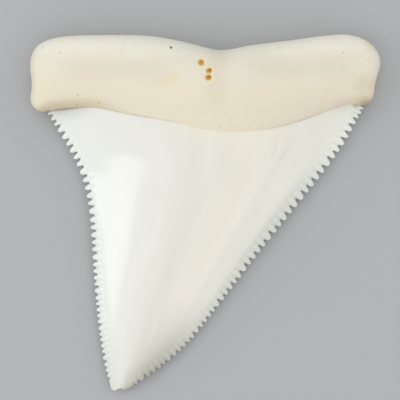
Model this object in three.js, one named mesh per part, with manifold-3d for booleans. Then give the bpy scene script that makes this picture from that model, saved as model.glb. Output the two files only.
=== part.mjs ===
// A great white shark tooth, lying on its flat outer face with the inner face up.
// Millimetres. +X runs to the right, +Y from the crown's tip to the root, +Z up off the resting face.
import * as THREE from 'three';
import { LoftGeometry } from 'three/addons/geometries/LoftGeometry.js';
import { mergeVertices } from 'three/addons/utils/BufferGeometryUtils.js';
import Module from 'manifold-3d';

// Driving dimensions of the root
const ROOT_THICKNESS = 9.2; // at the swelling in the middle of the root
const LOBE_THICKNESS = 6.9; // along each of the two lobes
const SWELLING_X = 1.2; // where the swelling is highest
const SWELLING_REACH = 8; // how far the swelling spreads to each side
const RIM_HEIGHT = 2.7; // height of the root's widest line above the resting face
const UNDERSIDE_ROUNDING = [ // shares of the root's outline and of the rim's height, from the bottom up
  { share: 0.86, climb: 0 },
  { share: 0.95, climb: 0.12 },
  { share: 0.99, climb: 0.5 },
];
const SHOULDER_FULLNESS = 0.87; // 1 rounds the root as an ellipse, less makes its shoulders fuller
const RIDGE_LEFT_X = -21.3; // ends of the root's ridge, about which the lobes are rounded
const RIDGE_RIGHT_X = 21;
const GROOVE_X = 1.4; // the shallow groove that runs down from the nutrient holes
const GROOVE_WIDTH = 1.3;
const GROOVE_DEPTH = 0.3;
const LOBE_END_FALL = 1.1; // how much lower the ridge is at the outer ends of the lobes
const HOLLOW_DEPTH = 0.5; // the shallow hollow along the back half of each lobe
const HOLLOW_START = 7; // how far from the swelling the hollow starts
const END_SHARE = 0.17; // share of the root's free edge that goes round each end

// Driving dimensions of the crown
const CROWN_BASE_HEIGHT = 7.3; // top of the crown where it leaves the root
const CROWN_TIP_HEIGHT = 1.2; // top of the crown at its point
const EDGE_BASE_HEIGHT = 1.2; // middle of the cutting edge above the resting face
const EDGE_TIP_HEIGHT = 0.7;
const EDGE_THICKNESS = 0.5;
const FLAT_SHARE = 0.55; // share of the crown's half width that rests flat
const TAPER_START = 1.7; // a larger power keeps the crown thick for longer before it thins to the point
const TAPER_END = 0.9; // a smaller power makes the last stretch blunter
const FLANK_POWER = 2.3; // a larger power gives the crown a flatter top and steeper flanks
const HOLLOW_GROUND = 0.25; // share of the fall that eases out before the cutting edges
const LEDGE_MIDDLE = 0.2; // step from the crown up to the root, in the middle and at the corners
const LEDGE_CORNER = 1.4;

// Driving dimensions of the serrations
const LEFT_SERRATIONS = 42;
const RIGHT_SERRATIONS = 51;
const NOTCH_DEPTH = 0.6; // near the root; the notches grow shallower towards the point
const NOTCH_FADE = 0.5;

// Outlines seen from above, each through the few points its shape needs
const GUM_LINE = curve([
  [-22.2, 14.3], [-20, 14.65], [-17.2, 14.8], [-14.7, 14.65], [-11.2, 13.9], [-4.2, 12.6],
  [-0.7, 11.8], [2.4, 11.35], [6.3, 11.4], [9.8, 11.9], [13.3, 12.9], [18.9, 14.95],
  [20.6, 15.25], [22.1, 15.1],
]);
const ROOT_EDGE = curve([
  [22.1, 15.1], [22.6, 15], [23.2, 15.4], [23.6, 16.2], [23.7, 17.2], [23.9, 18.6], [24.4, 20],
  [24.6, 21.2], [24.2, 22.5], [23.2, 23.8], [21.4, 24.7], [19.4, 25.06], [16.1, 24.8],
  [11.9, 24.2], [7.7, 23.7], [5.2, 23.3], [3, 22.85], [1.2, 22.9], [-0.7, 23.4], [-3.5, 24.1],
  [-7, 24.75], [-10.5, 24.95], [-15.4, 24.95], [-19.4, 24.8], [-21.7, 24.4], [-23.4, 23.6],
  [-24.3, 22.3], [-24.6, 20.8], [-24.4, 19.1], [-24.25, 17.6], [-24.4, 16.6], [-24.45, 15.7],
  [-23.9, 14.75], [-23.1, 14.1], [-22.2, 14.3],
]);
const LEFT_EDGE = curve([
  [-22.4, 14.2], [-20.7, 11.4], [-18.3, 7.1], [-16.8, 2.7], [-16.1, -2.7], [-15.7, -9.4],
  [-15.1, -15.9], [-14.2, -21.7], [-13.3, -24.6],
]);
const RIGHT_EDGE = curve([
  [22.5, 14.9], [21.3, 12.8], [19, 8.8], [15.2, 3.8], [10.75, -1.7], [6.3, -7.3], [1.9, -13.1],
  [-2.2, -18.2], [-6.2, -21.8], [-10.2, -24.5], [-11.2, -24.8],
]);
const TIP_LOBES = [[-12.9, -25], [-12.4, -25.06], [-12.1, -24.8], [-11.6, -25]];
const ROOT_RIDGE = curve([
  [RIDGE_LEFT_X, 19.3], [-12, 18.4], [0, 16.5], [3, 16.3], [12, 17.6], [RIDGE_RIGHT_X, 19.7],
]);
const NUTRIENT_HOLES = [
  { x: -0.55, y: 21, radius: 0.5 },
  { x: 0.5, y: 19.95, radius: 0.4 },
  { x: 0.4, y: 19.05, radius: 0.42 },
];
const HOLE_FLOOR = 6.6;
const HOLE_TAPER = 0.6; // radius at the floor as a share of the radius at the mouth

// Mesh density
const CROWN_ROWS = 22;
const CROWN_COLUMNS = 18;
const RIB_STEPS = 42;
const END_STEPS = 12;
const ROOT_RINGS = 8;
const HOLE_SIDES = 10;

function curve(points) {
  return new THREE.CatmullRomCurve3(points.map(([x, y]) => new THREE.Vector3(x, y, 0)));
}

const wasm = await Module();
wasm.setup();

function solidFrom(geometry) {
  const bare = new THREE.BufferGeometry().copy(geometry);
  bare.deleteAttribute('normal');
  bare.deleteAttribute('uv');
  const merged = mergeVertices(bare, 1e-4);
  const vertProperties = new Float32Array(merged.attributes.position.array);
  const triVerts = new Uint32Array(merged.index.array);
  return new wasm.Manifold(new wasm.Mesh({ numProp: 3, vertProperties, triVerts }));
}

function geometryFrom(solid) {
  const mesh = solid.getMesh();
  const geometry = new THREE.BufferGeometry();
  geometry.setAttribute('position', new THREE.BufferAttribute(mesh.vertProperties, 3));
  geometry.setIndex(new THREE.BufferAttribute(mesh.triVerts, 1));
  geometry.computeVertexNormals();
  return geometry;
}

// The crown: a plano-convex blade.
// "down" runs from 0 at the gum line to 1 at the point, "across" from -1 at the left edge to 1 at the right.
function crownTop(down, across) {
  const edge = THREE.MathUtils.lerp(EDGE_BASE_HEIGHT, EDGE_TIP_HEIGHT, down) + EDGE_THICKNESS / 2;
  const middle = CROWN_TIP_HEIGHT
    + (CROWN_BASE_HEIGHT - CROWN_TIP_HEIGHT) * (1 - down ** TAPER_START) ** TAPER_END;
  const side = Math.abs(across);
  const easedFall = (1 - Math.cos(Math.PI * side)) / 2;
  const fall = THREE.MathUtils.lerp(side ** FLANK_POWER, easedFall, HOLLOW_GROUND);
  return THREE.MathUtils.lerp(middle, edge, fall);
}

function crownUnderside(down, across) {
  const edge = THREE.MathUtils.lerp(EDGE_BASE_HEIGHT, EDGE_TIP_HEIGHT, down) - EDGE_THICKNESS / 2;
  const beyondFlat = Math.max(0, (Math.abs(across) - FLAT_SHARE) / (1 - FLAT_SHARE));
  return edge * beyondFlat ** 2;
}

// A point of a row in plan: rows near the root follow the bow of the gum line, later ones run straight.
function crownPlace(down, across) {
  const bowFade = (1 - down) ** 3;
  const share = (across + 1) / 2;
  const straight = LEFT_EDGE.getPointAt(down).lerp(RIGHT_EDGE.getPointAt(down), share);
  const alongGum = THREE.MathUtils.clamp(share, 0, 1);
  const chord = GUM_LINE.getPointAt(0).lerp(GUM_LINE.getPointAt(1), alongGum);
  const bow = GUM_LINE.getPointAt(alongGum).sub(chord);
  return straight.addScaledVector(bow, bowFade);
}

function crownRow(down) {
  const overhang = 0.2; // the blade runs past the serration tips, and the serrated outline trims it
  const width = LEFT_EDGE.getPointAt(down).distanceTo(RIGHT_EDGE.getPointAt(down));
  const stretch = 1 + 2 * overhang / width;
  const row = [];
  for (let column = 0; column <= CROWN_COLUMNS; column++) {
    const across = Math.cos(Math.PI * column / CROWN_COLUMNS);
    const place = crownPlace(down, across * stretch);
    row.push(place.setZ(crownTop(down, across)));
  }
  for (let column = CROWN_COLUMNS; column >= 0; column--) {
    const across = Math.cos(Math.PI * column / CROWN_COLUMNS);
    const place = crownPlace(down, across * stretch);
    row.push(place.setZ(crownUnderside(down, across)));
  }
  return row;
}

// The first row is sunk into the root so that the two fuse, and the last runs past the point.
function bladeGeometry() {
  const buried = 2.5;
  const narrowed = 0.94;
  const flattened = 0.85;
  const clearOfRest = 0.1;
  const overrun = 0.4;
  const rows = [];
  for (let step = 0; step <= CROWN_ROWS; step++) rows.push(crownRow(step / CROWN_ROWS));
  const neck = rows[0].map((p) => new THREE.Vector3(
    p.x * narrowed, p.y + buried, p.z * flattened + clearOfRest,
  ));
  const end = rows[CROWN_ROWS].map((p) => new THREE.Vector3(p.x, p.y - overrun, p.z));
  return new LoftGeometry([neck, ...rows, end], { closed: true, capStart: true, capEnd: true });
}

// Rounded serrations along the line of their tips, leaning towards the crown's point.
const SERRATION = [
  { along: 0, depth: 1 },
  { along: 0.22, depth: 0.32 },
  { along: 0.58, depth: 0 },
  { along: 0.86, depth: 0.28 },
];

// Where each serration starts along the edge. They start small at the root, are largest in the first half,
// and two quick waves give them their natural unevenness.
function serrationStarts(count) {
  const sizes = [];
  for (let i = 0; i < count; i++) {
    const grown = Math.min(1, 0.6 + 0.08 * i);
    const trend = 0.14 * Math.sin(2 * Math.PI * i / count);
    const unevenness = 0.14 * Math.sin(2.3 * i) + 0.08 * Math.sin(5.1 * i);
    sizes.push(grown * (1 + trend + unevenness));
  }
  const total = sizes.reduce((sum, size) => sum + size, 0);
  const starts = [0];
  sizes.forEach((size, i) => starts.push(starts[i] + size / total));
  starts[count] = 1;
  return starts;
}

function serratedEdge(tipLine, count, inwardSide) {
  const starts = serrationStarts(count);
  const outline = [];
  for (let i = 0; i < count; i++) {
    for (const { along, depth } of SERRATION) {
      const at = THREE.MathUtils.lerp(starts[i], starts[i + 1], along);
      const tangent = tipLine.getTangentAt(at);
      const inward = new THREE.Vector3(-tangent.y, tangent.x, 0).multiplyScalar(inwardSide);
      const notch = NOTCH_DEPTH * (1 - NOTCH_FADE * at) * depth;
      outline.push(tipLine.getPointAt(at).addScaledVector(inward, notch));
    }
  }
  return outline;
}

function crownOutlineGeometry() {
  const left = serratedEdge(LEFT_EDGE, LEFT_SERRATIONS, 1);
  const right = serratedEdge(RIGHT_EDGE, RIGHT_SERRATIONS, -1).reverse();
  const tip = TIP_LOBES.map(([x, y]) => new THREE.Vector2(x, y));
  const insideRoot = [new THREE.Vector2(20, 18.5), new THREE.Vector2(-20, 18.5)];
  const edges = [...left, ...tip, ...right, ...insideRoot];
  const shape = new THREE.Shape(edges.map(({ x, y }) => new THREE.Vector2(x, y)));
  const past = 1; // how far it runs past the blade below and above
  const depth = ROOT_THICKNESS + 2 * past;
  return new THREE.ExtrudeGeometry(shape, { depth, bevelEnabled: false }).translate(0, 0, -past);
}

// The root: ribs run from its outline over a ridge, and rings of them climb from the flat underside.
function ridgeHeight(x) {
  const swelling = Math.exp(-(((x - SWELLING_X) / SWELLING_REACH) ** 2) / 2);
  const groove = Math.exp(-(((x - GROOVE_X) / GROOVE_WIDTH) ** 2) / 2);
  const endFall = LOBE_END_FALL * (Math.abs(x) / RIDGE_RIGHT_X) ** 4;
  const lobes = LOBE_THICKNESS - endFall;
  return lobes + (ROOT_THICKNESS - LOBE_THICKNESS) * swelling - GROOVE_DEPTH * groove;
}

// A shallow hollow along each lobe, deepest halfway from the ridge to the back edge
function hollowDepth(x, share) {
  const alongLobe = 1 - Math.exp(-(((x - SWELLING_X) / HOLLOW_START) ** 4));
  return HOLLOW_DEPTH * alongLobe * Math.sin(Math.PI * share) ** 2;
}

function rootOutline() {
  const outline = [];
  for (let step = 0; step <= RIB_STEPS; step++) {
    const share = step / RIB_STEPS;
    const across = 2 * share - 1;
    const ledge = LEDGE_MIDDLE + (LEDGE_CORNER - LEDGE_MIDDLE) * Math.abs(across) ** 4;
    const rim = crownTop(0, across) + ledge;
    outline.push({ place: GUM_LINE.getPointAt(share), rim, ridge: ROOT_RIDGE.getPointAt(share) });
  }
  const edgeSteps = RIB_STEPS + 2 * END_STEPS;
  for (let step = 1; step < edgeSteps; step++) {
    const back = (step - END_STEPS) / RIB_STEPS;
    const place = ROOT_EDGE.getPointAt(edgeShare(back));
    const ridge = ROOT_RIDGE.getPointAt(1 - THREE.MathUtils.clamp(back, 0, 1));
    outline.push({ place, rim: RIM_HEIGHT, ridge, hollow: true });
  }
  return outline;
}

// How far round the root's free edge a rib starts: the ribs cover its back, the rounded ends are fans.
function edgeShare(back) {
  const overEnd = END_STEPS / RIB_STEPS;
  if (back < 0) return END_SHARE * (1 + back / overEnd);
  if (back > 1) return 1 - END_SHARE * (1 - (back - 1) / overEnd);
  return THREE.MathUtils.lerp(END_SHARE, 1 - END_SHARE, back);
}

function rootGeometry() {
  const outline = rootOutline();
  const ring = (share, heightOf) => outline.map(({ place, rim, ridge, hollow }) => {
    const height = heightOf(rim, ridgeHeight(ridge.x));
    const dip = hollow ? hollowDepth(ridge.x, share) * (height / ROOT_THICKNESS) ** 2 : 0;
    return ridge.clone().lerp(place, share).setZ(height - dip);
  });
  const rings = UNDERSIDE_ROUNDING.map(({ share, climb }) => ring(share, (rim) => climb * rim));
  for (let step = 0; step <= ROOT_RINGS; step++) {
    const turn = (step / ROOT_RINGS) * Math.PI / 2;
    const share = step < ROOT_RINGS ? Math.cos(turn) ** SHOULDER_FULLNESS : 0;
    const climb = Math.sin(turn) ** SHOULDER_FULLNESS;
    rings.push(ring(share, (rim, ridge) => THREE.MathUtils.lerp(rim, ridge, climb)));
  }
  return new LoftGeometry(rings, { closed: true, capStart: true });
}

function nutrientHole({ x, y, radius }) {
  const height = ROOT_THICKNESS + 1 - HOLE_FLOOR;
  const hole = new THREE.CylinderGeometry(radius, radius * HOLE_TAPER, height, HOLE_SIDES);
  return hole.rotateX(Math.PI / 2).translate(x, y, HOLE_FLOOR + height / 2);
}

// The whole tooth, grown as one piece
function toothSolid() {
  const crown = solidFrom(bladeGeometry()).intersect(solidFrom(crownOutlineGeometry()));
  const holes = NUTRIENT_HOLES.map((hole) => solidFrom(nutrientHole(hole)));
  return holes.reduce((tooth, hole) => tooth.subtract(hole), solidFrom(rootGeometry()).add(crown));
}

const ivory = new THREE.MeshStandardMaterial({ color: 0xe6e1d2, roughness: 0.4, metalness: 0 });
const tooth = new THREE.Mesh(geometryFrom(toothSolid()), ivory);
tooth.name = 'tooth';

const group = new THREE.Group();
group.add(tooth);
export default group;
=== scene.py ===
# %% [markdown]
# # A great white shark's tooth
# A shark's tooth is one piece of hard tissue. A blade of white enamel, the crown, grows from a thick
# ivory root with two lobes. Both long edges of the crown are serrated like a bread knife.
# The tooth lies on its flat outer face, so we look down on the rounder inner face, with its gum line
# and its three small nutrient holes.
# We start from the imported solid, which fixes the size, and build a finer tooth in its place.

# %% Load the frame
import math

import bmesh
import bpy
import numpy as np
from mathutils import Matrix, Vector


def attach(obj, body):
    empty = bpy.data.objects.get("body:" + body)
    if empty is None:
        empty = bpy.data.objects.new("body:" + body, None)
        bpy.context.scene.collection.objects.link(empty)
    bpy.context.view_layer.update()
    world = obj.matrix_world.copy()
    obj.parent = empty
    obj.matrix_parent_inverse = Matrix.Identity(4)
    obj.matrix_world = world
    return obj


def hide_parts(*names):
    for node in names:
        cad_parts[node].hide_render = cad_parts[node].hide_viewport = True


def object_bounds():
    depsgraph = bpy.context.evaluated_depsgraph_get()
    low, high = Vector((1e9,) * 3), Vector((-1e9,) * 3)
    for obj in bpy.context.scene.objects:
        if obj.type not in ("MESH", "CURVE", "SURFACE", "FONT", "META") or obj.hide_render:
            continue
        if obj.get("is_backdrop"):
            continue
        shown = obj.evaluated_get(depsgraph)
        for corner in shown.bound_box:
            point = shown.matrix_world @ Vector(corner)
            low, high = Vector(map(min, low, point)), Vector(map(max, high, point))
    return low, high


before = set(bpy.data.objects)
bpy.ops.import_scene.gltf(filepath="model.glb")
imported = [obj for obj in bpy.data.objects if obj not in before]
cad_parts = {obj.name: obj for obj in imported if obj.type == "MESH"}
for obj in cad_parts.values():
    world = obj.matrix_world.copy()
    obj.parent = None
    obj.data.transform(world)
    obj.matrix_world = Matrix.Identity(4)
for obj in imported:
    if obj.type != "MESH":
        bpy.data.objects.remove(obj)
cad_low, cad_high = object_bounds()
MM = 0.001
print("size of the frame in mm:", [round(side / MM, 2) for side in cad_high - cad_low])

# %% [markdown]
# ## The camera
# The tooth is seen straight from above, with the root at the top of the picture.
# A long lens from far away keeps the outline almost free of perspective, as in a close-up of a flat
# specimen. A shorter lens would make the thick root look wider than the thin blade.

# %% Camera
PICTURE_WIDTH = 56.0  # millimetres across the picture, at the height of the blade
CAMERA_HEIGHT = 420.0
AIM_X, AIM_Y = -0.74, 1.82  # the picture's middle, a little beside the tooth's own
BLADE_HEIGHT = 3.0  # about the middle height of the blade's surface

bpy.ops.object.select_all(action="DESELECT")
bpy.ops.object.camera_add(location=(AIM_X * MM, AIM_Y * MM, CAMERA_HEIGHT * MM), rotation=(0, 0, 0))
camera = bpy.context.object
camera.name = "camera"
camera.data.sensor_width = 36
camera.data.lens = camera.data.sensor_width * (CAMERA_HEIGHT - BLADE_HEIGHT) / PICTURE_WIDTH
camera.data.clip_start = 0.01
bpy.context.scene.camera = camera
print("lens in mm:", round(camera.data.lens))

# %% [markdown]
# ## The outlines
# Seen from above, a few lines say nearly everything about the tooth: the gum line between crown and root,
# the root's free edge, the two cutting edges and the ridge along the root. Each is a smooth curve through
# listed points. We could draw them as curve objects. A small function that walks along a curve is
# handier here, because rings, serrations and colours all have to follow the same lines.
# All sizes below are in millimetres.

# %% Smooth lines through a few points
GUM_LINE = [
    (-22.2, 14.3), (-20, 14.65), (-17.2, 14.8), (-14.7, 14.65), (-11.2, 13.9), (-4.2, 12.6),
    (-0.7, 11.8), (2.4, 11.35), (6.3, 11.4), (9.8, 11.9), (13.3, 12.9), (18.9, 14.95), (20.6, 15.25),
    (22.1, 15.1),
]
ROOT_EDGE = [
    (22.1, 15.1), (22.6, 15), (23.2, 15.4), (23.6, 16.2), (23.7, 17.2), (23.9, 18.6), (24.4, 20),
    (24.6, 21.2), (24.2, 22.5), (23.2, 23.8), (21.4, 24.7), (19.4, 25.06), (16.1, 24.8), (11.9, 24.2),
    (7.7, 23.7), (5.2, 23.3), (3, 22.85), (1.2, 22.9), (-0.7, 23.4), (-3.5, 24.1), (-7, 24.75),
    (-10.5, 24.95), (-15.4, 24.95), (-19.4, 24.8), (-21.7, 24.4), (-23.4, 23.6), (-24.3, 22.3),
    (-24.6, 20.8), (-24.4, 19.1), (-24.3, 17.6), (-24.5, 16.5), (-24.58, 15.6), (-24.1, 14.8),
    (-23.2, 14.05), (-22.2, 14.3),
]
LEFT_EDGE = [
    (-22.4, 14.2), (-20.7, 11.4), (-18.3, 7.1), (-16.8, 2.7), (-16.1, -2.7), (-15.7, -9.4),
    (-15.1, -15.9), (-14.2, -21.7), (-13.3, -24.6),
]
RIGHT_EDGE = [
    (22.5, 14.9), (21.3, 12.8), (19, 8.8), (15.2, 3.8), (10.75, -1.7), (6.3, -7.3), (1.9, -13.1),
    (-2.2, -18.2), (-6.2, -21.8), (-10.2, -24.5), (-11.2, -24.8),
]
ROOT_RIDGE = [(-21.3, 19.3), (-12, 18.4), (0, 16.5), (3, 16.3), (12, 17.6), (21, 19.7)]


def smooth_line(points, steps=24):
    """A Catmull-Rom curve through the points, as a function of the share of its length."""
    knots = np.array(points, float)
    padded = np.vstack([2 * knots[0] - knots[1], knots, 2 * knots[-1] - knots[-2]])
    way = np.linspace(0, 1, steps, endpoint=False)[:, None]
    walk = []
    for before, start, end, after in zip(padded, padded[1:], padded[2:], padded[3:]):
        square = (2 * before - 5 * start + 4 * end - after) * way**2
        cube = (3 * start - 3 * end + after - before) * way**3
        walk.append(start + 0.5 * ((end - before) * way + square + cube))
    walk = np.vstack(walk + [knots[-1:]])
    reach = np.concatenate([[0], np.cumsum(np.linalg.norm(np.diff(walk, axis=0), axis=1))])

    def at(share):
        length = np.clip(share, 0, 1) * reach[-1]
        return np.stack([np.interp(length, reach, walk[:, axis]) for axis in (0, 1)], axis=-1)

    return at


gum_line = smooth_line(GUM_LINE)
root_edge = smooth_line(ROOT_EDGE)
left_edge = smooth_line(LEFT_EDGE)
right_edge = smooth_line(RIGHT_EDGE)
root_ridge = smooth_line(ROOT_RIDGE)
print("the gum line runs from", gum_line(0), "to", gum_line(1))


# %% [markdown]
# ## Rings
# Both halves of the tooth are lofts: a ring of edges travels along the form and changes shape on the way.
# By hand you would add a circle, extrude it, and push each new ring into shape. The helpers below do just
# that. They start from a circle, extrude its edges, and slide every new point onto the next section.
# Stretched circles alone would be too blunt at the cutting edges, so the sections are worked out point
# by point.

# %% Ring helpers
def slide(piece, ring, section):
    """Moves the ring's points onto the section."""
    shape = bmesh.from_edit_mesh(piece.data)
    shape.verts.ensure_lookup_table()
    for index, place in zip(ring, section):
        shape.verts[index].co = place
    bmesh.update_edit_mesh(piece.data)


def extrude_ring(piece, ring):
    """Extrudes the selected ring and returns the new points in the old ones' order."""
    bpy.ops.mesh.extrude_edges_move()
    shape = bmesh.from_edit_mesh(piece.data)
    shape.verts.ensure_lookup_table()
    onward = []
    for index in ring:
        neighbours = [edge.other_vert(shape.verts[index]) for edge in shape.verts[index].link_edges]
        onward.append(next(neighbour.index for neighbour in neighbours if neighbour.select))
    return onward


def loft(name, sections):
    """A skin over the sections, closed at the first one and still in edit mode."""
    bpy.ops.object.select_all(action="DESELECT")
    bpy.ops.mesh.primitive_circle_add(vertices=len(sections[0]), radius=1)
    piece = bpy.context.object
    piece.name = name
    bpy.ops.object.mode_set(mode="EDIT")
    bpy.ops.mesh.select_mode(type="VERT")
    bpy.ops.mesh.select_all(action="SELECT")
    ring = list(range(len(sections[0])))
    slide(piece, ring, sections[0])
    bpy.ops.mesh.edge_face_add()
    bpy.ops.mesh.select_all(action="SELECT")
    for section in sections[1:]:
        ring = extrude_ring(piece, ring)
        slide(piece, ring, section)
    return piece


def apply_modifier(piece, kind, **settings):
    """Adds a modifier to the piece and applies it at once."""
    modifier = piece.modifiers.new(kind.lower(), kind)
    for setting, value in settings.items():
        setattr(modifier, setting, value)
    bpy.context.view_layer.objects.active = piece
    bpy.ops.object.modifier_apply(modifier=modifier.name)


def finish_loft(piece):
    """Merges doubles, points the faces outwards and rounds the skin between its rings."""
    bpy.ops.mesh.select_all(action="SELECT")
    bpy.ops.mesh.remove_doubles(threshold=0.001)
    bpy.ops.mesh.normals_make_consistent(inside=False)
    bpy.ops.object.mode_set(mode="OBJECT")
    apply_modifier(piece, "SUBSURF", levels=2, render_levels=2)
    print(piece.name, "has", len(piece.data.polygons), "faces")


# %% [markdown]
# ## The crown
# The crown is a blade: flat where it rests, bowed on top, with thin edges. It is thickest at the gum line
# and thins towards its tip. Its section is a low arch that turns bell-shaped at the shoulder, just below
# the gum line. "down" runs from 0 at the gum line to 1 at the tip, and "across" from -1 at the left
# cutting edge to 1 at the right one. Rows near the gum line follow its bow and later ones run straight.
# One formula for the height, read wherever a point is needed, keeps blade and serrations in step.

# %% The crown's form
CROWN_BASE_HEIGHT = 7.8
CROWN_TIP_HEIGHT = 1.2
TAPER_START, TAPER_END = 1.45, 0.9  # powers: how long the crown stays thick, and how blunt it ends
EDGE_BASE_HEIGHT = 1.2  # the middle of a cutting edge above the table
EDGE_TIP_HEIGHT = 0.7
EDGE_THICKNESS = 0.5
FLANK_POWER = 2.3  # a larger power gives a flatter top and steeper flanks
BELL_SHOULDER, BELL_BLADE = 0.78, 0.25  # how bell-shaped a section is at the shoulder and along the blade
SHOULDER_AT = 0.155  # a little below the gum line
FLAT_SHARE = 0.55  # the share of the half width that rests flat
BOW_FADE = 3  # a larger power straightens the rows sooner below the gum line


def edge_height(down):
    """The middle of a cutting edge above the table."""
    return EDGE_BASE_HEIGHT + (EDGE_TIP_HEIGHT - EDGE_BASE_HEIGHT) * down


def crown_top(down, across):
    """The height of the inner face, which lies up."""
    taper = (1 - down**TAPER_START) ** TAPER_END
    middle = CROWN_TIP_HEIGHT + (CROWN_BASE_HEIGHT - CROWN_TIP_HEIGHT) * taper
    edge = edge_height(down) + EDGE_THICKNESS / 2
    from_middle = np.abs(across)
    from_shoulder = (down - SHOULDER_AT) / SHOULDER_AT
    bell = BELL_BLADE + (BELL_SHOULDER - BELL_BLADE) * math.exp(-(from_shoulder**2))
    fall = (1 - bell) * from_middle**FLANK_POWER + bell * (1 - np.cos(np.pi * from_middle)) / 2
    return middle + (edge - middle) * fall


def crown_underside(down, across):
    """The height of the outer face: flat in the middle, rising to the cutting edges."""
    edge = edge_height(down) - EDGE_THICKNESS / 2
    beyond_flat = np.maximum(0, (np.abs(across) - FLAT_SHARE) / (1 - FLAT_SHARE))
    return edge * beyond_flat**2


def crown_place(down, across):
    """Where a row's points are in plan."""
    share = (across[:, None] + 1) / 2
    straight = left_edge(down) * (1 - share) + right_edge(down) * share
    chord = gum_line(0) * (1 - share) + gum_line(1) * share
    bow = gum_line(share[:, 0]) - chord
    return straight + bow * (1 - down) ** BOW_FADE


def half_width_at(down):
    """Half the distance between the cutting edges."""
    return np.linalg.norm(right_edge(down) - left_edge(down)) / 2


# %% [markdown]
# ## Room for the serrations
# On the real tooth every notch between two serrations runs on as a shallow flute in the enamel. Cutting
# ninety flutes one by one would be slow. Instead the blade ends at the bottom of the notches and sinks a
# little towards them all along, and the serrations that are set on it afterwards leave flutes between them.
# The right edge sinks more, because its flutes are the deeper ones.

# %% The notched rows of the crown
NOTCH_DEPTH = 0.9
NOTCH_AT_ROOT, NOTCH_GROWTH = 0.6, 5  # a share of the depth, and how fast it grows on the way down
NOTCH_AT_TIP, NOTCH_FADE = 0.45, 14
LEFT_FLUTE, RIGHT_FLUTE = 0.12, 0.42  # how far the blade sinks by the notches of either edge
FLUTE_LENGTH = 1.6  # how far inwards of the notches it starts to sink
CROWN_COLUMNS = 22
SLANT_SPAN = 0.01  # the stretch of edge over which its direction is measured


def notch_depth(down):
    """The notches are shallower by the root and at the very tip."""
    return NOTCH_DEPTH * min(1, NOTCH_AT_ROOT + NOTCH_GROWTH * down, NOTCH_AT_TIP + NOTCH_FADE * (1 - down))


def slant(edge, down):
    """The sine of the angle at which a row of the crown meets a cutting edge."""
    along = edge(down + SLANT_SPAN) - edge(down - SLANT_SPAN)
    row = right_edge(down) - left_edge(down)
    return abs(along[0] * row[1] - along[1] * row[0]) / np.linalg.norm(along) / np.linalg.norm(row)


def sinking(inside):
    """The share of a flute's depth at a distance inside the notches."""
    return np.maximum(0, 1 - inside / FLUTE_LENGTH) ** 2


def crown_row(down):
    """One section of the crown: the top from right to left, then the underside back again."""
    half_width = half_width_at(down)
    slants = np.array([slant(left_edge, down), slant(right_edge, down)])
    left, right = (-1, 1) + notch_depth(down) / slants / half_width * (1, -1)
    across = left + (right - left) * (np.cos(np.linspace(0, np.pi, CROWN_COLUMNS + 1)) + 1) / 2
    from_left = half_width * (across - left) * slants[0]
    from_right = half_width * (right - across) * slants[1]
    flutes = LEFT_FLUTE * sinking(from_left) + RIGHT_FLUTE * sinking(from_right)
    plan = crown_place(down, across)
    top = np.column_stack([plan, crown_top(down, across) - flutes])
    under = np.column_stack([plan, crown_underside(down, across)])
    return np.vstack([top, under[::-1]])


# %% [markdown]
# ## Building the crown
# The rows are lofted from the gum line to the tip. The first ring is pushed back into the root, a little
# smaller, so that crown and root overlap and no gap is left along the gum line.

# %% Build the crown
CROWN_ROWS = 44
NECK_SCALE = (0.94, 1, 0.97)
NECK_SHIFT = (0, 2.5, 0)

rows = [crown_row(down) for down in np.linspace(0, 1, CROWN_ROWS)]
crown = loft("crown", [rows[0] * NECK_SCALE + NECK_SHIFT] + rows)
bpy.ops.mesh.edge_face_add()
finish_loft(crown)

# %% [markdown]
# ## The root
# The root is a thick bar with two lobes, swollen in the middle where the three nutrient holes open, with
# a shallow groove beside them and a slight hollow along the back of each lobe. A stretched cube with a
# bevel would miss all of these, so the height along the ridge is one formula, and the rest follows it.

# %% The root's form
ROOT_THICKNESS = 9.2  # at the swelling
LOBE_THICKNESS = 6.9
LOBE_END_FALL = 1.1  # how much lower the ridge is at the lobes' ends
LOBE_END_X = 21
SWELLING_X = 1.2
SWELLING_REACH = 8
GROOVE_X = 1.4
GROOVE_WIDTH = 1.3
GROOVE_DEPTH = 0.3
HOLLOW_DEPTH = 0.5
HOLLOW_START = 7  # how far from the swelling the hollows start


def ridge_height(x):
    """The height of the root along its ridge."""
    swelling = np.exp(-(((x - SWELLING_X) / SWELLING_REACH) ** 2) / 2)
    groove = np.exp(-(((x - GROOVE_X) / GROOVE_WIDTH) ** 2) / 2)
    lobes = LOBE_THICKNESS - LOBE_END_FALL * (np.abs(x) / LOBE_END_X) ** 4
    return lobes + (ROOT_THICKNESS - LOBE_THICKNESS) * swelling - GROOVE_DEPTH * groove


def hollow(x, share):
    """How far the back of a lobe sinks, at a share of the way from the ridge to the edge."""
    along_lobe = 1 - np.exp(-(((x - SWELLING_X) / HOLLOW_START) ** 4))
    return HOLLOW_DEPTH * along_lobe * np.sin(np.pi * share) ** 2


# %% [markdown]
# ## The root's ribs
# Ribs run from the root's outline up to its ridge, like those of an upturned boat. They are spread evenly
# along the gum line and the back, and a little closer round both ends, where the outline turns sharply.
# In the middle the root meets the crown almost flush. Towards the corners its rim stands out as a rounded
# ledge, so the height at which a rib leaves the outline follows the crown plus the ledge.

# %% Where the ribs start and end
RIBS = 42
END_RIBS = 12
END_SHARE = 0.17  # the share of the free edge that goes round one end
RIM_HEIGHT = 2.7  # the root's widest line above the table, along the back
LEDGE_MIDDLE = 0.05
LEDGE_LEFT, LEDGE_RIGHT = 1.4, 1.0
FLUSH_SHARE = 0.85  # how much of the rounding is left out where root and crown meet flush

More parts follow.
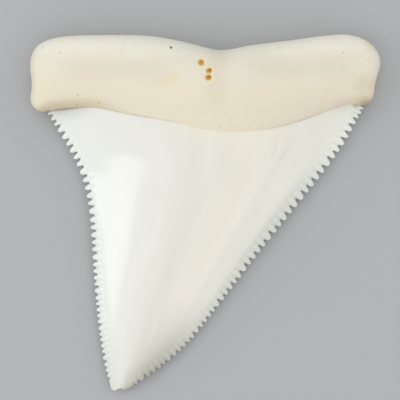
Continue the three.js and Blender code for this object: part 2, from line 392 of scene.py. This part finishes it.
gum_shares = np.linspace(0, 1, RIBS + 1)
gum_across = 2 * gum_shares - 1
back = (np.arange(1, RIBS + 2 * END_RIBS) - END_RIBS) / RIBS
end_span = END_RIBS / RIBS
back_shares = np.interp(back, [-end_span, 0, 1, 1 + end_span], [0, END_SHARE, 1 - END_SHARE, 1])
ledge_corner = np.where(gum_across < 0, LEDGE_LEFT, LEDGE_RIGHT)
ledge = LEDGE_MIDDLE + (ledge_corner - LEDGE_MIDDLE) * gum_across**4

rib_foot = np.vstack([gum_line(gum_shares), root_edge(back_shares)])
rib_top = np.vstack([root_ridge(gum_shares), root_ridge(1 - np.clip(back, 0, 1))])
rim_height = np.concatenate([crown_top(0, gum_across) + ledge, np.full(len(back), RIM_HEIGHT)])
on_back = np.concatenate([np.zeros(len(gum_shares)), np.ones(len(back))])
flush = np.concatenate([FLUSH_SHARE * (1 - gum_across**4), np.zeros(len(back))])
print(len(rib_foot), "ribs")


# %% [markdown]
# ## Building the root
# Rings climb along the ribs from the flat underside: three low ones round the foot, then a fan of turns up
# to the ridge, where both sides meet. A rounded box from a bevel would be even all along. Here every rib
# has its own height, so the rounding changes from the flush middle to the proud corners.

# %% Build the root
ROOT_RINGS = 10
FULLNESS = 0.87  # 1 would round the root as an ellipse; less gives it fuller shoulders
FLUSH_POWER = 1.4  # how the root climbs from the crown where they meet flush
FOOT_RINGS = [(0.86, 0), (0.95, 0.12), (0.99, 0.5)]  # shares of the outline and of the rim's height


def foot_ring(share, height_share):
    """A ring below the root's widest line."""
    return np.column_stack([rib_top + (rib_foot - rib_top) * share, rim_height * height_share])


def upper_ring(turn):
    """A ring between the widest line, at no turn, and the ridge, at a quarter turn."""
    share = np.cos(turn) ** FULLNESS
    round_climb = np.sin(turn) ** FULLNESS
    climb = round_climb + (1 - share**FLUSH_POWER - round_climb) * flush
    height = rim_height + (ridge_height(rib_top[:, 0]) - rim_height) * climb
    dip = on_back * hollow(rib_top[:, 0], share) * (height / ROOT_THICKNESS) ** 2
    return np.column_stack([rib_top + (rib_foot - rib_top) * share, height - dip])


rings = [foot_ring(share, height_share) for share, height_share in FOOT_RINGS]
rings += [upper_ring(turn) for turn in np.linspace(0, np.pi / 2, ROOT_RINGS + 1)[:-1]]
ridge_ring = np.column_stack([rib_top, ridge_height(rib_top[:, 0])])
root = loft("root_bar", rings + [ridge_ring])
finish_loft(root)

# %% [markdown]
# ## Nutrient holes
# Blood vessels entered the living tooth through three holes in the middle of the root, and one stray
# pinhole sits on the left lobe. Each cutter is a sphere drawn out into a pit, and a Boolean takes it out
# of the root before the halves are fused. Painting the holes on would leave them without a shadow.

# %% Cut the holes
HOLES = [  # x, y, half width, half length
    (-0.58, 20.88, 0.46, 0.54),
    (0.5, 19.7, 0.43, 0.45),
    (0.42, 18.75, 0.46, 0.42),
    (-4.78, 22.98, 0.11, 0.11),
]
HOLE_DEPTH = 1.4  # times the half width


def surface_height(piece, x, y):
    """How high the piece stands at a place, found by looking straight down on it."""
    return piece.ray_cast((x, y, 2 * ROOT_THICKNESS), (0, 0, -1))[1].z


for hole_x, hole_y, half_width, half_length in HOLES:
    mouth = (hole_x, hole_y, surface_height(root, hole_x, hole_y))
    bpy.ops.object.select_all(action="DESELECT")
    bpy.ops.mesh.primitive_uv_sphere_add(segments=24, ring_count=12, location=mouth)
    cutter = bpy.context.object
    cutter.scale = (half_width, half_length, HOLE_DEPTH * half_width)
    bpy.ops.object.transform_apply(location=True, scale=True)
    apply_modifier(root, "BOOLEAN", operation="DIFFERENCE", object=cutter, solver="EXACT")
    bpy.data.objects.remove(cutter)
print("the root after cutting has", len(root.data.polygons), "faces")

# %% [markdown]
# ## Serrations
# Each serration is a small petal of enamel, blunt outside and running out to nothing on the blade.
# We model one from a sphere: its outer end is widened and its inner end narrowed, each in two steps.
# A cone would give saw teeth, and a plain sphere would give beads.

# %% One petal
BLUNTING = [(0.55, (1, 1.08, 1.05)), (0.8, (1, 1.25, 1.1))]  # beyond these places the end is widened
TAPER = [(-0.2, (1, 0.85, 0.95)), (-0.6, (1, 0.8, 0.95))]  # before these places the end is narrowed

bpy.ops.object.select_all(action="DESELECT")
bpy.ops.mesh.primitive_uv_sphere_add(segments=14, ring_count=10, radius=1)
petal = bpy.context.object
petal.name = "petal"
bpy.ops.object.mode_set(mode="EDIT")


def scale_end(is_chosen, start, factors):
    """Scales the petal's points that are chosen by their place along it."""
    bpy.ops.mesh.select_all(action="DESELECT")
    shape = bmesh.from_edit_mesh(petal.data)
    for vertex in shape.verts:
        vertex.select_set(is_chosen(vertex.co.x))
    bmesh.update_edit_mesh(petal.data)
    bpy.ops.transform.resize(value=factors, center_override=(start, 0, 0))


for start, factors in BLUNTING:
    scale_end(lambda along: along > start, start, factors)
for start, factors in TAPER:
    scale_end(lambda along: along < start, start, factors)
bpy.ops.object.mode_set(mode="OBJECT")
print("one petal has", len(petal.data.polygons), "faces")

# %% [markdown]
# ## How large the serrations are
# A growing tooth never makes two serrations alike. They are small by the root and at the tip, larger in the
# first half of an edge than in the second, and uneven in between. A random size would need a seed and a
# lucky draw. Two quick sine waves look as natural and always come out the same.

# %% Sizes of the serrations
LEFT_SERRATIONS = (42, 0.82)  # how many, and the size of the first beside a full one
RIGHT_SERRATIONS = (51, 0.6)
FIRST_GROWTH = 0.08  # how much each one is larger than the one before, until they are full
LAST_SIZE, LAST_GROWTH = 0.62, 0.12  # the same, counted from the tip
SIZE_TREND = 0.14
UNEVENNESS = [(0.14, 2.3), (0.08, 5.1)]  # how strong each wave is, and how fast


def serration_starts(count, first_size):
    """Where each serration starts along its edge, as shares of the edge."""
    number = np.arange(count)
    from_root = np.minimum(1, first_size + FIRST_GROWTH * number)
    from_tip = np.minimum(1, LAST_SIZE + LAST_GROWTH * number[::-1])
    trend = SIZE_TREND * np.sin(2 * np.pi * number / count)
    waves = sum(strength * np.sin(pace * number) for strength, pace in UNEVENNESS)
    sizes = from_root * from_tip * (1 + trend + waves)
    return np.concatenate([[0], np.cumsum(sizes) / sizes.sum()])


for count, first_size in (LEFT_SERRATIONS, RIGHT_SERRATIONS):
    shares = np.diff(serration_starts(count, first_size))
    print(count, "serrations, the largest", round(shares.max() / shares.min(), 1), "times the smallest")

# %% [markdown]
# ## Setting the petals
# Every petal lies along the blade's flank, turned outwards and leaning a little towards the tooth's tip. It
# ends where the outline of the edge is, and its top is level with the flank as it would be without flutes.
# An array along a curve could space the copies, but not give each its own size, tilt and height. So each is
# a copy with its own mesh, placed by the same formulas as the blade. Three more make the worn tip.

# %% Petals along both edges
PETAL_LENGTH = 1.25  # half of it, for a petal 1 mm wide
PETAL_THICKNESS = 0.42  # half of it
SHORTEST, LENGTHENING = 0.4, 1.2  # narrow petals are shorter: a share of the length, and how it grows
FILL_START, FILL_TIP = 0.86, 0.95  # a petal's width as a share of its place along the edge
LEAN_START, LEAN_TIP = math.radians(6), math.radians(16)  # towards the tooth's tip
PETAL_AT = 0.58  # where a petal's outer end is, as a share of its place along the edge
PETAL_PROUD = 0.01  # above the blade's flank
EDGE_SPAN = 0.003  # the stretch of edge over which a petal's direction is measured
FLANK_SPAN = 0.3  # the stretch of flank, to either side, over which a petal's tilt is measured
INNERMOST = 0.3  # no petal reads the flank nearer to the middle of the blade than this
TIP_LOBES = [(-12.78, -25.06, 0.68), (-12.1, -24.84, 0.5), (-11.38, -25.02, 0.56)]  # x, y, half width
LOBES_DOWN = 0.97  # where along the blade the lobes of the tip read its height


def flank_height(down, slant_here, inwards):
    """The height of the flank without flutes, at a distance in from the serrations' ends."""
    return crown_top(down, max(INNERMOST, 1 - inwards / slant_here / half_width_at(down)))


def place_petal(tip, outward, down, slant_here, half_length, half_width):
    """A copy of the petal with its outer end at the tip and its top along the blade's flank."""
    inner = flank_height(down, slant_here, half_length + FLANK_SPAN)
    outer = flank_height(down, slant_here, half_length - FLANK_SPAN)
    tilt = math.atan2(inner - outer, 2 * FLANK_SPAN)
    inwards = half_length * math.cos(tilt)
    height = flank_height(down, slant_here, inwards) + PETAL_PROUD - PETAL_THICKNESS / math.cos(tilt)
    copy = bpy.data.objects.new("petal_copy", petal.data.copy())
    bpy.context.collection.objects.link(copy)
    copy.location = (*(tip - outward * inwards), height)
    copy.rotation_euler = (0, tilt, math.atan2(outward[1], outward[0]))
    copy.scale = (half_length, half_width, PETAL_THICKNESS)
    return copy


def petals_along(edge, count, first_size, inner_side):
    """All petals of one cutting edge, from the root to the tip."""
    made = []
    starts = serration_starts(count, first_size)
    for start, end in zip(starts, starts[1:]):
        down = start + (end - start) * PETAL_AT
        ahead = edge(down + EDGE_SPAN) - edge(down - EDGE_SPAN)
        ahead = ahead / np.linalg.norm(ahead)
        inward = np.array([-ahead[1], ahead[0]]) * inner_side
        lean = LEAN_START + (LEAN_TIP - LEAN_START) * down**4
        outward = ahead * math.sin(lean) - inward * math.cos(lean)
        half_pitch = np.linalg.norm(edge(end) - edge(start)) / 2
        half_length = PETAL_LENGTH * min(1, SHORTEST + LENGTHENING * half_pitch)
        half_width = half_pitch * (FILL_START + (FILL_TIP - FILL_START) * down**3)
        made.append(place_petal(edge(down), outward, down, slant(edge, down), half_length, half_width))
    return made


petals = petals_along(left_edge, *LEFT_SERRATIONS, 1) + petals_along(right_edge, *RIGHT_SERRATIONS, -1)
straight_down = np.array([0.0, -1.0])
for lobe_x, lobe_y, lobe_width in TIP_LOBES:
    lobe_tip = np.array([lobe_x, lobe_y])
    petals.append(place_petal(lobe_tip, straight_down, LOBES_DOWN, 1.0, PETAL_LENGTH, lobe_width))
bpy.data.objects.remove(petal)
print(len(petals), "petals")

# %% [markdown]
# ## Fusing the tooth
# The lofts and petals still overlap. A voxel remesh turns them into one skin, as if they were cast
# together, and a little smoothing takes the voxel steps away. A Boolean union of ninety petals would be
# slower and leave sharp seams. The remesh is as fine as the serrations need, which is finer than the smooth
# faces need, so a decimate then thins it out where the skin is nearly flat.

# %% Join, remesh, smooth and thin out
VOXEL = 0.125
SMOOTH_SHARE, SMOOTH_ROUNDS = 0.5, 2
MOST_TRIANGLES = 188_000

bpy.ops.object.select_all(action="DESELECT")
for piece in petals + [root, crown]:
    piece.select_set(True)
bpy.context.view_layer.objects.active = crown
bpy.ops.object.transform_apply(location=True, rotation=True, scale=True)
bpy.ops.object.join()
tooth = crown
tooth.name = tooth.data.name = "shark_tooth"
apply_modifier(tooth, "REMESH", mode="VOXEL", voxel_size=VOXEL, use_smooth_shade=True)
apply_modifier(tooth, "SMOOTH", factor=SMOOTH_SHARE, iterations=SMOOTH_ROUNDS)
quads = len(tooth.data.polygons)
apply_modifier(tooth, "DECIMATE", ratio=MOST_TRIANGLES / (2 * quads), use_collapse_triangulate=True)
print("remeshed to", quads, "faces and thinned out to", len(tooth.data.polygons))

# %% [markdown]
# ## Metres
# Millimetres were handy to model in, but the scene is in metres. The tooth is scaled once and the scale is
# applied, so that the object stands at the origin, unturned and unscaled. Then it takes the place of the
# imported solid.

# %% Bring it to metres
tooth.scale = (MM, MM, MM)
bpy.ops.object.select_all(action="DESELECT")
tooth.select_set(True)
bpy.context.view_layer.objects.active = tooth
bpy.ops.object.transform_apply(scale=True)
bpy.ops.object.shade_smooth()
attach(tooth, "root")
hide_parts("tooth")
print("the tooth in mm:", [round(side / MM, 2) for side in tooth.dimensions])

# %% [markdown]
# ## The material
# Enamel and root are two finishes on one skin, so one material holds both and the gum line decides between
# them. Most of it is masks: numbers from 0 to 1 that say where a colour shows. A few short helpers add the
# nodes, so that a mask reads as one line of code.

# %% Node helpers
paint = bpy.data.materials.new("tooth_enamel_and_root")
paint.use_nodes = True
tree = paint.node_tree


def node(kind, inputs, output=0, **settings):
    """Adds a node, sets or links its inputs, and returns one of its outputs."""
    made = tree.nodes.new("ShaderNode" + kind)
    for setting, value in settings.items():
        setattr(made, setting, value)
    for socket, value in inputs.items():
        if isinstance(value, bpy.types.NodeSocket):
            tree.links.new(value, made.inputs[socket])
        else:
            made.inputs[socket].default_value = value
    return made.outputs[output]


def maths(operation, *values):
    """One sum on numbers or sockets."""
    return node("Math", dict(enumerate(values)), operation=operation)


def step(value, low, high):
    """0 before the low value and 1 beyond the high one, softly; the low one may be the larger."""
    return node("MapRange", {0: value, 1: low, 2: high}, interpolation_type="SMOOTHSTEP")


def near(value, centre, full, none):
    """1 within the full distance of the centre and 0 beyond the other one."""
    return step(maths("ABSOLUTE", maths("SUBTRACT", value, centre)), none, full)


def all_of(*shares):
    """The masks multiplied, so that each of them can hide the colour."""
    product = shares[0]
    for share in shares[1:]:
        product = maths("MULTIPLY", product, share)
    return product


def blend(share, below, above):
    """One colour laid over another."""
    return node("Mix", {0: share, 6: below, 7: above}, output=2, data_type="RGBA")


def speckle(place, scale, detail=2.0):
    """Noise from 0 to 1."""
    return node("TexNoise", {"Vector": place, "Scale": scale, "Detail": detail})


def shade(red, green, blue):
    """A colour as it should look under plain light, from 0 to 255, as linear light for a socket."""
    parts = [part / 255 for part in (red, green, blue)]
    return [part / 12.92 if part < 0.04045 else ((part + 0.055) / 1.055) ** 2.4 for part in parts] + [1]


# %% [markdown]
# ## Finding the way on the tooth
# Each mask has to know where on the tooth it is. A paint mask on the points would be as coarse as the mesh.
# Curve nodes that hold the gum line and the cutting edges, read at the object's own coordinates, stay sharp.
# From them come the distance above the gum line and the share of the way from the left edge to the right.

# %% Where on the tooth
REACH = 26.0  # the lines are drawn in a square of twice this size, centred on the tooth

place = node("VectorMath", {0: node("TexCoord", {}, output=3), "Scale": 1 / MM}, operation="SCALE")
x, y, z = (node("SeparateXYZ", {0: place}, output=axis) for axis in range(3))
plan = node("CombineXYZ", {0: x, 1: y})


def drawn_line(points, along):
    """A curve node through the points, read at the given coordinate."""
    curve = tree.nodes.new("ShaderNodeFloatCurve")
    knots = curve.mapping.curves[0].points
    for index, (start, value) in enumerate(sorted(points)):
        spot = (start / (2 * REACH) + 0.5, value / (2 * REACH) + 0.5)
        if index < 2:
            knots[index].location = spot
        else:
            knots.new(*spot)
    curve.mapping.update()
    tree.links.new(maths("MULTIPLY_ADD", along, 1 / (2 * REACH), 0.5), curve.inputs["Value"])
    return maths("MULTIPLY_ADD", curve.outputs[0], 2 * REACH, -REACH)


GUM_LINE_ENDS = [(-24.5, 12.5), (24.5, 13.5)]  # carries the line on past the crown, below the root's corners

gum_y = drawn_line(GUM_LINE + GUM_LINE_ENDS, x)
left_x = drawn_line([(side_y, side_x) for side_x, side_y in LEFT_EDGE], y)
right_x = drawn_line([(side_y, side_x) for side_x, side_y in RIGHT_EDGE], y)
above_gum = maths("SUBTRACT", y, gum_y)
side = maths("DIVIDE", maths("SUBTRACT", x, left_x), maths("SUBTRACT", right_x, left_x))
print("nodes that find the way:", len(tree.nodes))

# %% [markdown]
# ## Enamel
# Enamel is a glassy white. It is cooler towards the cutting edges, where it is thin, and warmer over the
# thick middle, where the dentine shines through. Towards the tip it is painted greyer, as painted shade,
# and so is a thin border along the right edge. A lighter band down the right flank is a painted
# reflection. Fine growth streaks run down the blade, so the streak pattern is stretched along it: it reads
# the share of the way from the left edge to the right one instead of plain width. One noise for all would
# look like marble, so each streak, band and tint is a small mask of its own. The last is a painted shadow
# of the ledge on the enamel at the left corner.

# %% Enamel colours
def bands(value, stops):
    """A colour ramp with soft passages through the stops, each a position and a colour."""
    made = tree.nodes.new("ShaderNodeValToRGB")
    made.color_ramp.interpolation = "EASE"
    marks = made.color_ramp.elements
    for index, (position, colour) in enumerate(stops):
        mark = marks[index] if index < 2 else marks.new(position)
        mark.position = position
        mark.color = colour
    tree.links.new(value, made.inputs[0])
    return made.outputs[0]


flow = node("CombineXYZ", {0: maths("MULTIPLY", side, 10.0), 1: maths("MULTIPLY", y, 0.07)})
fine_flow = node("CombineXYZ", {0: maths("MULTIPLY", side, 60.0), 1: maths("MULTIPLY", y, 0.16)})
streaks = speckle(flow, 1.0, 3.0)
hairs = speckle(fine_flow, 1.0, 2.0)

enamel = bands(side, [
    (0.0, shade(234, 238, 232)),
    (0.18, shade(233, 234, 228)),
    (0.32, shade(231, 230, 222)),
    (0.48, shade(227, 225, 213)),
    (0.7, shade(235, 231, 218)),
    (0.9, shade(234, 233, 222)),
    (1.0, shade(234, 237, 230)),
])
enamel = blend(all_of(step(streaks, 0.48, 0.68), 0.3), enamel, shade(243, 240, 231))
# painted reflection: a lighter band down the right flank, where the glossy enamel would mirror a light
painted_reflection_band = all_of(near(side, 0.74, 0.015, 0.05), step(y, 13, 6), step(y, -17, -10))
enamel = blend(all_of(painted_reflection_band, 0.55), enamel, shade(241, 238, 226))
hair_place = all_of(near(side, 0.8, 0.06, 0.14), near(y, 8.5, 2.5, 5.0))
hair_patch = all_of(hair_place, step(hairs, 0.55, 0.68))
enamel = blend(all_of(hair_patch, 0.3), enamel, shade(214, 211, 200))
under_gum = all_of(step(above_gum, -2.4, -0.8), near(x, 3.0, 4.0, 9.0))
enamel = blend(all_of(under_gum, 0.45), enamel, shade(237, 232, 213))
# painted shade: the right flank of the tip turns grey and darker, as if it faced away from the light
tip_painted_shade = all_of(step(y, -11, -24), step(side, 0.28, 0.9))
enamel = blend(all_of(tip_painted_shade, 0.95), enamel, shade(176, 175, 164))
# painted shade: the left side of the tip is darker too
left_of_tip_shade = all_of(step(y, -14, -24), step(side, 0.35, 0.05))
enamel = blend(all_of(left_of_tip_shade, 0.5), enamel, shade(203, 210, 200))
# painted shade: a thin darker border along the right cutting edge
right_border_shade = all_of(near(side, 0.95, 0.02, 0.06), step(y, 11, 2), step(y, -20, -10))
enamel = blend(all_of(right_border_shade, 0.36), enamel, shade(194, 198, 191))
# painted shadow: the ledge at the left corner shades the enamel below it
left_ledge_shadow = all_of(step(above_gum, -2.2, -0.2), step(x, -14.5, -20.0))
enamel = blend(all_of(left_ledge_shadow, 0.42), enamel, shade(188, 191, 178))
print("nodes with the enamel:", len(tree.nodes))

# %% [markdown]
# ## Root
# The root is dry, porous dentine: ivory, paler along its free edge and yellower by the gum line, with faint
# clouds and short scratches above the gum line. A darker band along each lobe and one in the groove beside
# the holes are painted shade over the hollows, and painted tan shade lies where each corner's ledge rounds
# down to the crown. As on the enamel, these are small masks laid over one ivory.

# %% Root colours
ROOT_TOP_Y = 24.6

clouds = speckle(plan, 0.22, 4.0)
wander = maths("MULTIPLY_ADD", clouds, 0.5, -0.25)
up_the_root = maths("DIVIDE", above_gum, maths("SUBTRACT", ROOT_TOP_Y, gum_y))
ivory = bands(maths("ADD", up_the_root, wander), [
    (0.05, shade(231, 222, 200)),
    (0.35, shade(231, 222, 200)),
    (0.65, shade(230, 225, 207)),
    (0.9, shade(235, 232, 218)),
])
# painted shade: a darker band along each lobe, over its hollow
left_lobe_shade = all_of(near(y, 19.8, 0.5, 2.2), near(x, -12.5, 5.0, 9.0))
right_lobe_shade = all_of(near(y, 20.3, 0.7, 2.4), near(x, 13.5, 5.0, 9.0))
ivory = blend(all_of(maths("ADD", left_lobe_shade, right_lobe_shade), 0.55), ivory, shade(221, 213, 194))
# painted shade in the groove below the nutrient holes
groove_shade = all_of(near(x, 1.7, 0.2, 2.2), step(y, 12.5, 16))
ivory = blend(all_of(groove_shade, 0.5), ivory, shade(219, 210, 188))
far_from_middle = step(maths("ABSOLUTE", maths("SUBTRACT", x, 4.0)), 13.0, 22.0)
# painted shade: tan where each corner's ledge rounds down to the crown
ledge_shade = all_of(far_from_middle, step(above_gum, 1.7, 0.3))
ivory = blend(all_of(ledge_shade, 0.65), ivory, shade(201, 184, 150))
mottles = speckle(plan, 0.9, 3.0)
ivory = blend(all_of(step(mottles, 0.5, 0.72), 0.28), ivory, shade(222, 211, 184))
scratch_flow = node("CombineXYZ", {0: maths("MULTIPLY", x, 3.4), 1: maths("MULTIPLY", y, 0.8)})
scratches = step(speckle(scratch_flow, 1.0, 2.0), 0.6, 0.7)
scratch_place = all_of(step(above_gum, 4.5, 1.5), near(x, 3.0, 5.0, 11.0))
ivory = blend(all_of(scratches, scratch_place, 0.4), ivory, shade(205, 192, 164))
print("nodes with the root:", len(tree.nodes))

# %% [markdown]
# ## Single marks
# Some marks on the root are not a pattern: a few yellow stains, dirt at the right corner, six tiny pores,
# and the holes with their orange insides. Each hole's deep side gets a painted shadow, and the stray
# pinhole is painted dark as painted shade. Each is a round mask about one spot, with the noise making the
# stains' borders uneven. The masks only know the plan, so the marks are kept off the underside by height.

# %% Stains, pores and nutrient holes
STAINS = [  # x, y, reach, strength, colour
    (-4.15, 18.8, 0.8, 0.4, shade(229, 208, 152)),
    (-5.4, 18.3, 1.2, 0.22, shade(229, 206, 156)),
    (-6.9, 17.9, 1.4, 0.2, shade(229, 204, 160)),
    (23.3, 23.4, 1.5, 0.3, shade(216, 200, 150)),
    (22.0, 17.6, 2.4, 0.45, shade(211, 198, 168)),
    (22.7, 15.3, 1.8, 0.7, shade(172, 158, 122)),
    (-24.5, 21.5, 1.2, 0.3, shade(224, 196, 150)),
]
PORES = [
    (-22.65, 23.03), (-20.27, 22.33), (-17.75, 16.45), (-14.8, 15.33), (-17.9, 15.05), (19.2, 22.3),
]
PORE_REACH = 0.22
# painted shadow: the deep side of each nutrient hole is painted dark
HOLE_SHADE = [0.2, 0.6, 0.5]  # how dark the deep side of each nutrient hole is
DEEP_SIDE_X, DEEP_SIDE_Y = 0.7, 0.45  # where that side is, in half widths and half lengths

inner_face = step(z, 0.6, 1.6)


def distance_to(spot_x, spot_y, stretch=(1, 1, 1)):
    """The distance in plan to a spot, stretched for marks that are not round."""
    apart = node("VectorMath", {0: plan, 1: (spot_x, spot_y, 0)}, operation="SUBTRACT")
    stretched = node("VectorMath", {0: apart, 1: stretch}, operation="MULTIPLY")
    return node("VectorMath", {0: stretched}, output=1, operation="LENGTH")


def marked(mask, strength, colour):
    """The ivory with one mark laid over it, on the side that lies up."""
    return blend(all_of(mask, inner_face, strength), ivory, colour)


for spot_x, spot_y, reach, strength, colour in STAINS:
    uneven_distance = maths("MULTIPLY_ADD", mottles, reach, distance_to(spot_x, spot_y))
    stain = step(uneven_distance, 1.5 * reach, 0.6 * reach)
    ivory = marked(stain, strength, colour)
for spot_x, spot_y in PORES:
    pore = step(distance_to(spot_x, spot_y), PORE_REACH, 0.05)
    ivory = marked(pore, 0.42, shade(165, 142, 104))
for (hole_x, hole_y, half_width, half_length), deep_shade in zip(HOLES, HOLE_SHADE):
    stretch = (1 / half_width, 1 / half_length, 1)
    round_hole = distance_to(hole_x, hole_y, stretch)
    deep_x = hole_x + DEEP_SIDE_X * half_width
    deep_y = hole_y + DEEP_SIDE_Y * half_length
    deep_side = step(distance_to(deep_x, deep_y, stretch), 0.9, 0.3)
    ivory = marked(step(round_hole, 2.0, 1.2), 0.5, shade(241, 232, 206))
    ivory = marked(step(round_hole, 1.45, 0.95), 0.85, shade(241, 216, 152))
    ivory = marked(step(round_hole, 1.0, 0.15), 1.0, shade(213, 158, 42))
    # painted shadow on the deep side of the hole
    ivory = marked(all_of(step(round_hole, 1.1, 0.85), deep_side), deep_shade, shade(126, 92, 26))
# painted shade: the stray pinhole is painted dark, for the shade in its depth
pin_x, pin_y = HOLES[3][:2]
ivory = marked(step(distance_to(pin_x, pin_y), 0.24, 0.08), 1.0, shade(84, 62, 40))
print("nodes with the single marks:", len(tree.nodes))

# %% [markdown]
# ## Putting the finishes together
# The two finishes are mixed at the gum line, softly in the middle and sharply towards the corners. Two
# shaders and a Mix Shader would do, but one shader with mixed colours is simpler and travels better to other
# programs. The front of the ledge stands straight up at the gum line, so height decides there: all that is
# higher than the blade is root. On the hidden outer face the enamel ends in a flatter arch.
# A thin brown line follows the crease under the ledge and is darkest in both corners.

# %% Mix at the gum line
OUTER_GUM_LINE = [
    (-25, 12.8), (-22.4, 14.3), (-12, 15.4), (0, 15.7), (12, 15.7), (22.5, 15.0), (25, 13.5),
]
MIDDLE_SOFTNESS, CORNER_SOFTNESS = 0.32, 0.1

from_outer_gum = maths("SUBTRACT", y, drawn_line(OUTER_GUM_LINE, x))
seen_from_below = step(z, 0.9, 0.4)
from_border = node("Mix", {0: seen_from_below, 2: above_gum, 3: from_outer_gum})
ledge_foot = np.column_stack([rib_foot[:RIBS + 1, 0], crown_top(0, gum_across)])[::3]
blade_top = drawn_line(ledge_foot.tolist(), x)
on_ledge = step(maths("SUBTRACT", z, blade_top), 0.1, 0.35)
towards_corners = step(maths("ABSOLUTE", maths("SUBTRACT", x, 2.0)), 3.0, 14.0)
softness = node("MapRange", {0: towards_corners, 3: MIDDLE_SOFTNESS, 4: CORNER_SOFTNESS})
is_root = maths("MAXIMUM", on_ledge, step(maths("DIVIDE", from_border, softness), -1.0, 1.0))
off_ledge = maths("SUBTRACT", 1.0, on_ledge)
in_crease = all_of(near(from_border, 0.0, 0.02, 0.16), off_ledge)
# a thin brown line along the crease, stronger towards the corners
crease_line = all_of(in_crease, step(speckle(plan, 0.5), 0.35, 0.6), towards_corners)
colour = blend(is_root, enamel, ivory)
colour = blend(all_of(crease_line, 0.45), colour, shade(176, 162, 132))
in_corner = maths("MAXIMUM", step(x, 20.2, 22.0), all_of(step(x, -16.0, -19.5), 0.65))
# a darker brown in the crease at both corners
corner_crease_dark = all_of(near(from_border, -0.05, 0.1, 0.35), in_corner, off_ledge)
colour = blend(all_of(corner_crease_dark, 0.85), colour, shade(120, 108, 78))
print("nodes with the border:", len(tree.nodes))

# %% [markdown]
# ## Gloss and grain
# The enamel is glossy, with ripples too fine to model. The root is dull, with a fine grain and its scratches
# cut in. Both are a bump in real millimetres: as geometry they would need many more points, and they are far
# too shallow to change the outline.

# %% Gloss, relief and the shader
ENAMEL_ROUGHNESS = 0.15
ROOT_ROUGHNESS = 0.5
GRAIN_HEIGHT = 0.03
SCRATCH_DEPTH = 0.015
RIPPLE_HEIGHT = 0.002

grain = maths("MULTIPLY", speckle(place, 2.2, 4.0), GRAIN_HEIGHT)
scratch_cuts = maths("MULTIPLY", all_of(scratches, scratch_place), -SCRATCH_DEPTH)
ripples = maths("MULTIPLY", hairs, RIPPLE_HEIGHT)
root_relief = maths("ADD", grain, scratch_cuts)
relief = node("Mix", {0: is_root, 2: ripples, 3: root_relief})
bump = node("Bump", {"Strength": 1.0, "Distance": MM, "Height": relief})
gloss = node("MapRange", {0: is_root, 3: ENAMEL_ROUGHNESS, 4: ROOT_ROUGHNESS})

surface = tree.nodes["Principled BSDF"]
tree.links.new(colour, surface.inputs["Base Color"])
tree.links.new(gloss, surface.inputs["Roughness"])
tree.links.new(bump, surface.inputs["Normal"])
tooth.data.materials.clear()
tooth.data.materials.append(paint)
print("the tooth's material has", len(tree.nodes), "nodes")

# %% [markdown]
# ## The floor
# A plain pale floor, a little darker than the tooth, so that the white serrations stand out against it.
# It belongs to the stage and not to the part.

# %% Floor
FLOOR_SIZE = 4  # metres
FLOOR_ROUGHNESS = 0.8

bpy.ops.object.select_all(action="DESELECT")
bpy.ops.mesh.primitive_plane_add(size=FLOOR_SIZE)
floor = bpy.context.object
floor.name = "floor"
floor_paint = bpy.data.materials.new("floor_paint")
floor_paint.use_nodes = True
floor_surface = floor_paint.node_tree.nodes["Principled BSDF"]
floor_surface.inputs["Base Color"].default_value = shade(176, 178, 180)
floor_surface.inputs["Roughness"].default_value = FLOOR_ROUGHNESS
floor.data.materials.append(floor_paint)
floor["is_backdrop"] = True
print("the floor is", FLOOR_SIZE, "m wide")

# %% [markdown]
# ## Light
# Shiny things are photographed in a light tent: even light from all sides. A white world does the same.
# One oval soft box low on the left gives the bright reflection along the left flank of the crown. A
# rectangular one would show its corners in the enamel.

# %% Lights
SOFT_BOX_PLACE = (-0.334, 0.005, 0.196)  # metres
SOFT_BOX_LENGTH, SOFT_BOX_HEIGHT = 0.17, 0.15
SOFT_BOX_BRIGHTNESS = 2.45  # of its face, as a mirror would show it
TENT_BRIGHTNESS = 0.96

bpy.ops.object.light_add(type="AREA", location=SOFT_BOX_PLACE)
soft_box = bpy.context.object
soft_box.name = "left_soft_box"
soft_box.data.shape = "ELLIPSE"
soft_box.data.size = SOFT_BOX_LENGTH
soft_box.data.size_y = SOFT_BOX_HEIGHT
soft_box_area = math.pi / 4 * SOFT_BOX_HEIGHT * SOFT_BOX_LENGTH
soft_box.data.energy = SOFT_BOX_BRIGHTNESS * math.pi * soft_box_area
soft_box.rotation_euler = (-Vector(SOFT_BOX_PLACE)).to_track_quat("-Z", "Y").to_euler()

world = bpy.data.worlds.new("studio")
world.use_nodes = True
tent = world.node_tree.nodes["Background"]
tent.inputs["Color"].default_value = (1, 1, 1, 1)
tent.inputs["Strength"].default_value = TENT_BRIGHTNESS
bpy.context.scene.world = world
bpy.context.scene.view_settings.view_transform = "Standard"
print("the soft box has", round(soft_box.data.energy, 3), "W")

# %% [markdown]
# ## Room inside the frame
# Last we print how much room the finished tooth leaves inside the imported solid, on each side.

# %% Room inside the frame
low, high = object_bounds()
gaps = [*(low - cad_low), *(cad_high - high)]
print("room left inside the frame, in mm:", [round(gap / MM, 3) for gap in gaps])
